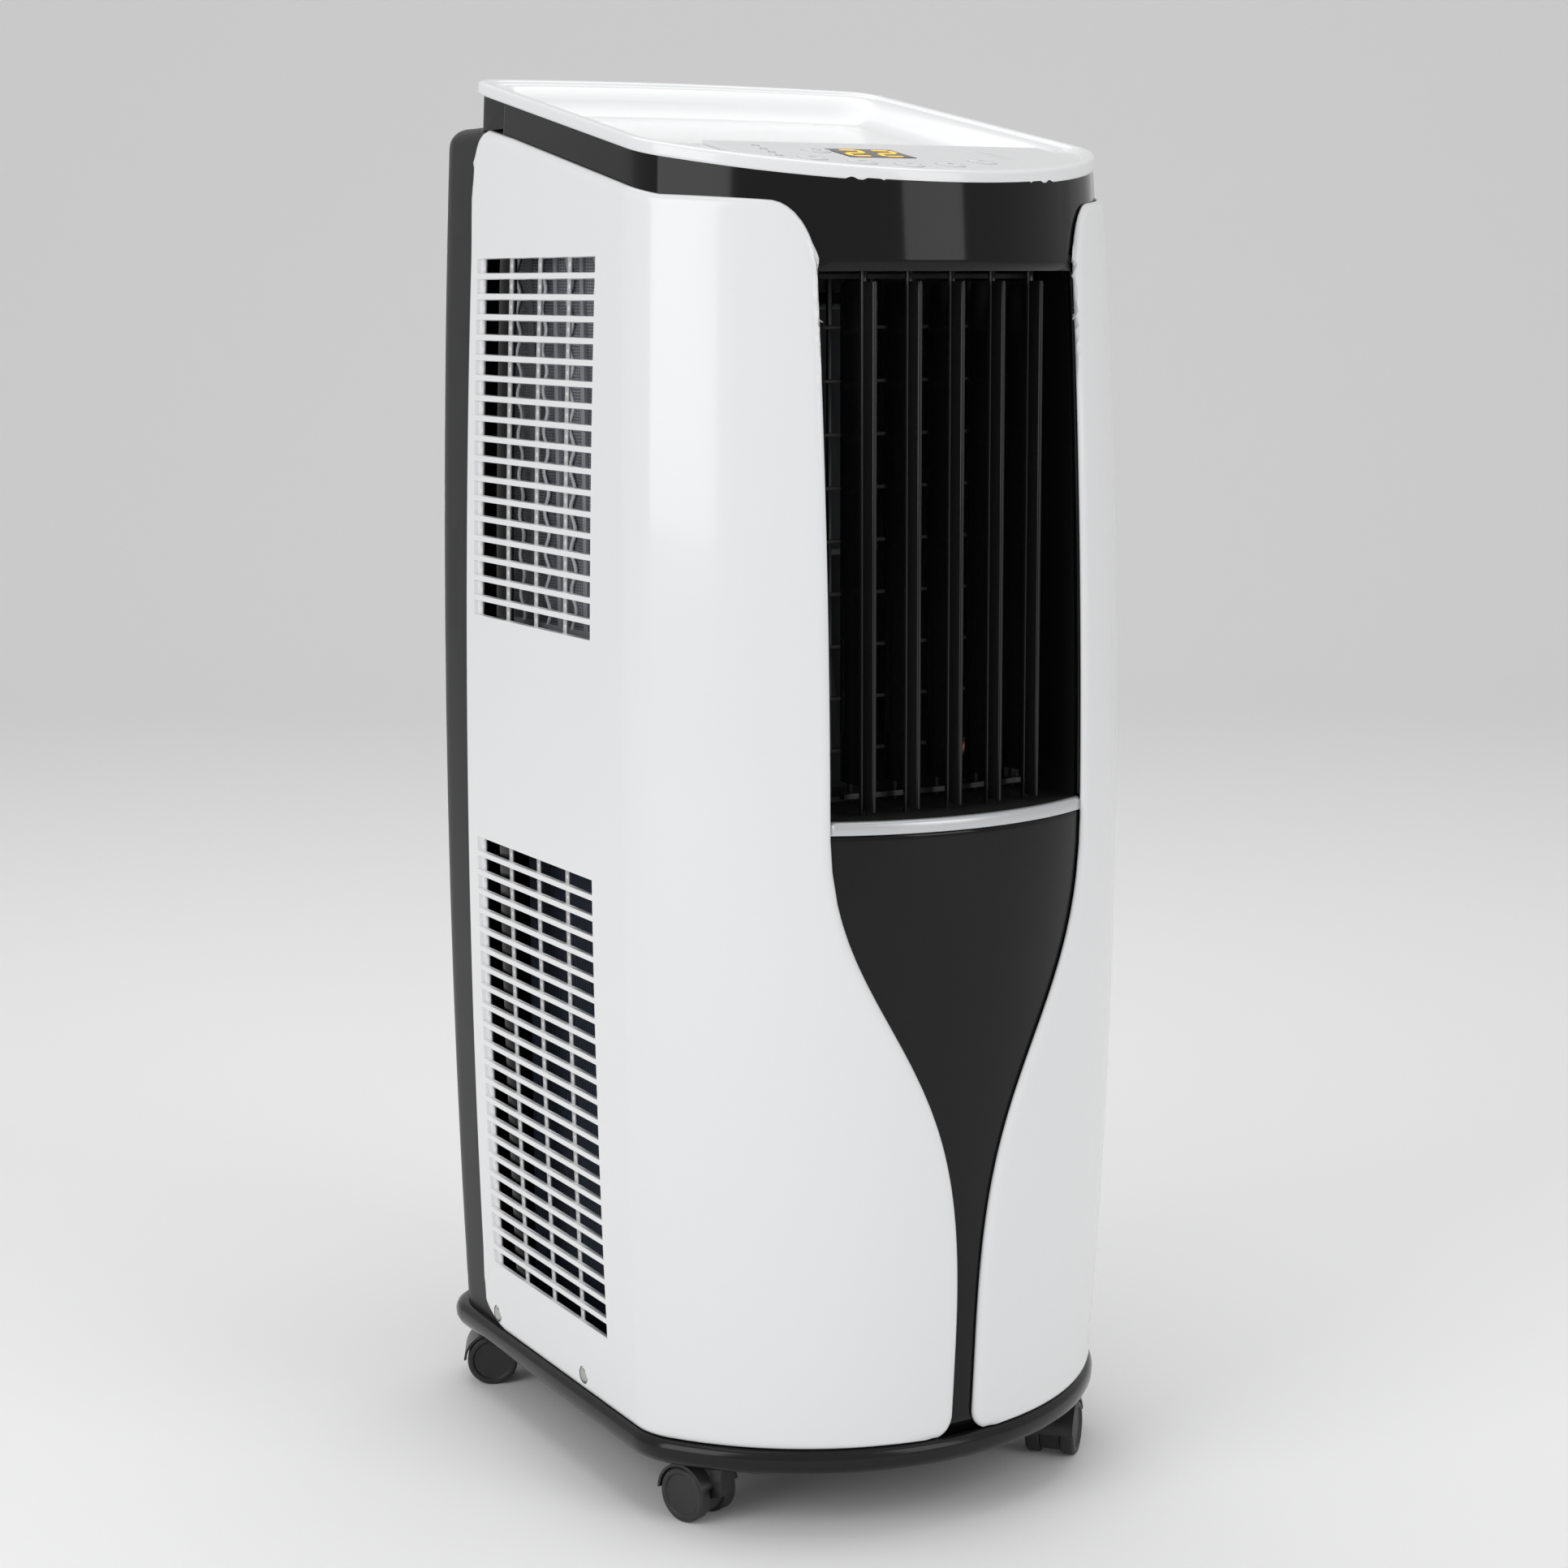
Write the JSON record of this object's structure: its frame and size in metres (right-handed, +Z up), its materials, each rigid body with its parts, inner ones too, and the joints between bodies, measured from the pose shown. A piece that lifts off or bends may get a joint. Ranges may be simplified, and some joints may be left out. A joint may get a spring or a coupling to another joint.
{
  "type": "portable air conditioner",
  "caption": "Tall rounded portable air conditioner on casters: upright swinging louvres, sloped lid with display and buttons, side grilles and a rear exhaust outlet.",
  "frame": {"origin": "middle of the footprint on the floor, under the caster wheels", "axes": "+Z up, -Y towards the front with the air outlet, +X to the right of a person facing the front"},
  "size_m": [0.306, 0.3885, 0.7704],
  "materials": {
    "white_gloss": "moulded gloss white",
    "black_gloss": "high gloss black",
    "grey_housing": "satin dark grey moulding",
    "black_satin": "satin black moulding",
    "silver_trim": "satin silver paint",
    "display_glass": "smoked acrylic",
    "board_green": "printed circuit board",
    "foam_grey": "open-cell foam",
    "fin_aluminium": "bare finned aluminium",
    "tank_black": "black enamel",
    "copper_pipe": "drawn copper",
    "black_rubber": "moulded rubber",
    "wheel_black": "black nylon",
    "filter_grey": "light grey filter frame",
    "fan_grey": "grey polypropylene",
    "motor_steel": "zinc-plated sheet",
    "screw_steel": "plated screw",
    "tray_white": "grey-white expanded foam tray"
  },
  "bodies": {
    "chassis": {"accumulator": "tank_black", "air_duct": "black_satin", "base_tray": "black_satin", "case_screws": "screw_steel", "compressor": "tank_black", "compressor_feet": "black_rubber", "condenser_coil": "fin_aluminium", "condenser_fan_housing": "tray_white", "condenser_fan_motor": "motor_steel", "control_board": "board_green", "control_panel": "white_gloss", "cord_gland": "black_satin", "cord_hooks": "black_satin", "display_window": "display_glass", "drain_spigots": "black_satin", "duct_foam": "foam_grey", "electrical_box": "motor_steel", "evaporator_coil": "fin_aluminium", "evaporator_fan_motor": "motor_steel", "exhaust_collar": "black_satin", "front_frame": "black_gloss", "left_side_panel": "white_gloss", "lower_front_panel": "black_gloss", "outlet_guard": "black_satin", "partition_tray": "tray_white", "rear_housing": "grey_housing", "refrigerant_pipes": "copper_pipe", "right_side_panel": "white_gloss", "splash_motor": "motor_steel", "swing_motor": "motor_steel", "top_cover": "white_gloss", "trim_strip": "silver_trim"},
    "evaporator_fan": {"evaporator_fan": "fan_grey"},
    "condenser_fan": {"condenser_fan": "fan_grey"},
    "splash_wheel": {"splash_wheel": "fan_grey"},
    "filter_left": {"filter_left": "filter_grey"},
    "filter_right": {"filter_right": "filter_grey"},
    "drain_cap_lower": {"drain_cap_lower": "black_rubber"},
    "drain_cap_upper": {"drain_cap_upper": "black_rubber"},
    "float_arm": {"float_arm": "fan_grey"},
    "louver_link_bar": {"louver_link_bar": "black_satin"},
    "louver_blade_1": {"louver_blade_1": "black_satin"},
    "louver_blade_2": {"louver_blade_2": "black_satin"},
    "louver_blade_3": {"louver_blade_3": "black_satin"},
    "louver_blade_4": {"louver_blade_4": "black_satin"},
    "louver_blade_5": {"louver_blade_5": "black_satin"},
    "caster_fork_front_left": {"caster_fork_front_left": "wheel_black"},
    "caster_wheels_front_left": {"caster_wheels_front_left": "wheel_black"},
    "caster_fork_front_right": {"caster_fork_front_right": "wheel_black"},
    "caster_wheels_front_right": {"caster_wheels_front_right": "wheel_black"},
    "caster_fork_rear_left": {"caster_fork_rear_left": "wheel_black"},
    "caster_wheels_rear_left": {"caster_wheels_rear_left": "wheel_black"},
    "caster_fork_rear_right": {"caster_fork_rear_right": "wheel_black"},
    "caster_wheels_rear_right": {"caster_wheels_rear_right": "wheel_black"},
    "button_power": {"button_power": "white_gloss"},
    "button_mode": {"button_mode": "white_gloss"},
    "button_fan_speed": {"button_fan_speed": "white_gloss"},
    "button_cooler": {"button_cooler": "white_gloss"},
    "button_warmer": {"button_warmer": "white_gloss"},
    "button_timer": {"button_timer": "white_gloss"}
  },
  "joints": [
    {"name": "swivel_front_left", "type": "hinge", "parent": "chassis", "child": "caster_fork_front_left", "pos_m": [-0.112, -0.116, 0.04], "axis": [0, 0, 1], "continuous": true},
    {"name": "roll_front_left", "type": "hinge", "parent": "caster_fork_front_left", "child": "caster_wheels_front_left", "pos_m": [-0.11664, -0.10173, 0.015], "axis": [0.9511, 0.309, 0], "continuous": true},
    {"name": "swivel_front_right", "type": "hinge", "parent": "chassis", "child": "caster_fork_front_right", "pos_m": [0.112, -0.116, 0.04], "axis": [0, 0, 1], "continuous": true},
    {"name": "roll_front_right", "type": "hinge", "parent": "caster_fork_front_right", "child": "caster_wheels_front_right", "pos_m": [0.10103, -0.12623, 0.015], "axis": [-0.682, 0.7314, 0], "continuous": true},
    {"name": "swivel_rear_left", "type": "hinge", "parent": "chassis", "child": "caster_fork_rear_left", "pos_m": [-0.104, 0.142, 0.04], "axis": [0, 0, 1], "continuous": true},
    {"name": "roll_rear_left", "type": "hinge", "parent": "caster_fork_rear_left", "child": "caster_wheels_rear_left", "pos_m": [-0.11724, 0.14904, 0.015], "axis": [0.4695, 0.8829, 0], "continuous": true},
    {"name": "swivel_rear_right", "type": "hinge", "parent": "chassis", "child": "caster_fork_rear_right", "pos_m": [0.104, 0.142, 0.04], "axis": [0, 0, 1], "continuous": true},
    {"name": "roll_rear_right", "type": "hinge", "parent": "caster_fork_rear_right", "child": "caster_wheels_rear_right", "pos_m": [0.08923, 0.1394, 0.015], "axis": [-0.1736, 0.9848, 0], "continuous": true},
    {"name": "louver_turn_1", "type": "hinge", "parent": "chassis", "child": "louver_blade_1", "pos_m": [-0.0508, -0.16223, 0.52], "axis": [0, 0, 1], "range_deg": [-40, 40]},
    {"name": "louver_turn_2", "type": "hinge", "parent": "chassis", "child": "louver_blade_2", "pos_m": [-0.0254, -0.16483, 0.52], "axis": [0, 0, 1], "range_deg": [-40, 40]},
    {"name": "louver_turn_3", "type": "hinge", "parent": "chassis", "child": "louver_blade_3", "pos_m": [0, -0.1657, 0.52], "axis": [0, 0, 1], "range_deg": [-40, 40]},
    {"name": "louver_turn_4", "type": "hinge", "parent": "chassis", "child": "louver_blade_4", "pos_m": [0.0254, -0.16483, 0.52], "axis": [0, 0, 1], "range_deg": [-40, 40]},
    {"name": "louver_turn_5", "type": "hinge", "parent": "chassis", "child": "louver_blade_5", "pos_m": [0.0508, -0.16223, 0.52], "axis": [0, 0, 1], "range_deg": [-40, 40]},
    {"name": "link_bar_pin", "type": "hinge", "parent": "louver_blade_3", "child": "louver_link_bar", "pos_m": [0, -0.1537, 0.393], "axis": [0, 0, 1], "range_deg": [-40, 40]},
    {"name": "evaporator_fan_spin", "type": "hinge", "parent": "chassis", "child": "evaporator_fan", "pos_m": [0, 0.014, 0.508], "axis": [0, 0, 1], "continuous": true},
    {"name": "condenser_fan_spin", "type": "hinge", "parent": "chassis", "child": "condenser_fan", "pos_m": [0, 0.064, 0.226], "axis": [0, 1, 0], "continuous": true},
    {"name": "splash_wheel_spin", "type": "hinge", "parent": "chassis", "child": "splash_wheel", "pos_m": [0.068, 0.062, 0.072], "axis": [1, 0, 0], "continuous": true},
    {"name": "press_power", "type": "slide", "parent": "chassis", "child": "button_power", "axis": [0, 0.1914, -0.9815], "range_m": [0, 0.0006], "stiffness_N_per_m": 500},
    {"name": "press_mode", "type": "slide", "parent": "chassis", "child": "button_mode", "axis": [0, 0.1914, -0.9815], "range_m": [0, 0.0006], "stiffness_N_per_m": 500},
    {"name": "press_fan_speed", "type": "slide", "parent": "chassis", "child": "button_fan_speed", "axis": [0, 0.1914, -0.9815], "range_m": [0, 0.0006], "stiffness_N_per_m": 500},
    {"name": "press_cooler", "type": "slide", "parent": "chassis", "child": "button_cooler", "axis": [0, 0.1914, -0.9815], "range_m": [0, 0.0006], "stiffness_N_per_m": 500},
    {"name": "press_warmer", "type": "slide", "parent": "chassis", "child": "button_warmer", "axis": [0, 0.1914, -0.9815], "range_m": [0, 0.0006], "stiffness_N_per_m": 500},
    {"name": "press_timer", "type": "slide", "parent": "chassis", "child": "button_timer", "axis": [0, 0.1914, -0.9815], "range_m": [0, 0.0006], "stiffness_N_per_m": 500},
    {"name": "filter_left_pull", "type": "slide", "parent": "chassis", "child": "filter_left", "axis": [0, 1, 0], "range_m": [0, 0.16]},
    {"name": "filter_right_pull", "type": "slide", "parent": "chassis", "child": "filter_right", "axis": [0, 1, 0], "range_m": [0, 0.16]},
    {"name": "drain_cap_lower_pull", "type": "slide", "parent": "chassis", "child": "drain_cap_lower", "axis": [0, 1, 0], "range_m": [0, 0.015]},
    {"name": "drain_cap_upper_pull", "type": "slide", "parent": "chassis", "child": "drain_cap_upper", "axis": [0, 1, 0], "range_m": [0, 0.015]},
    {"name": "float_lift", "type": "hinge", "parent": "chassis", "child": "float_arm", "pos_m": [-0.038, 0.128, 0.0595], "axis": [1, 0, 0], "range_deg": [0, 15]}
  ],
  "couplings": [
    {"joint": "louver_turn_1", "follows": "louver_turn_3", "ratio": 1},
    {"joint": "louver_turn_2", "follows": "louver_turn_3", "ratio": 1},
    {"joint": "louver_turn_4", "follows": "louver_turn_3", "ratio": 1},
    {"joint": "louver_turn_5", "follows": "louver_turn_3", "ratio": 1},
    {"joint": "link_bar_pin", "follows": "louver_turn_3", "ratio": -1}
  ]
}
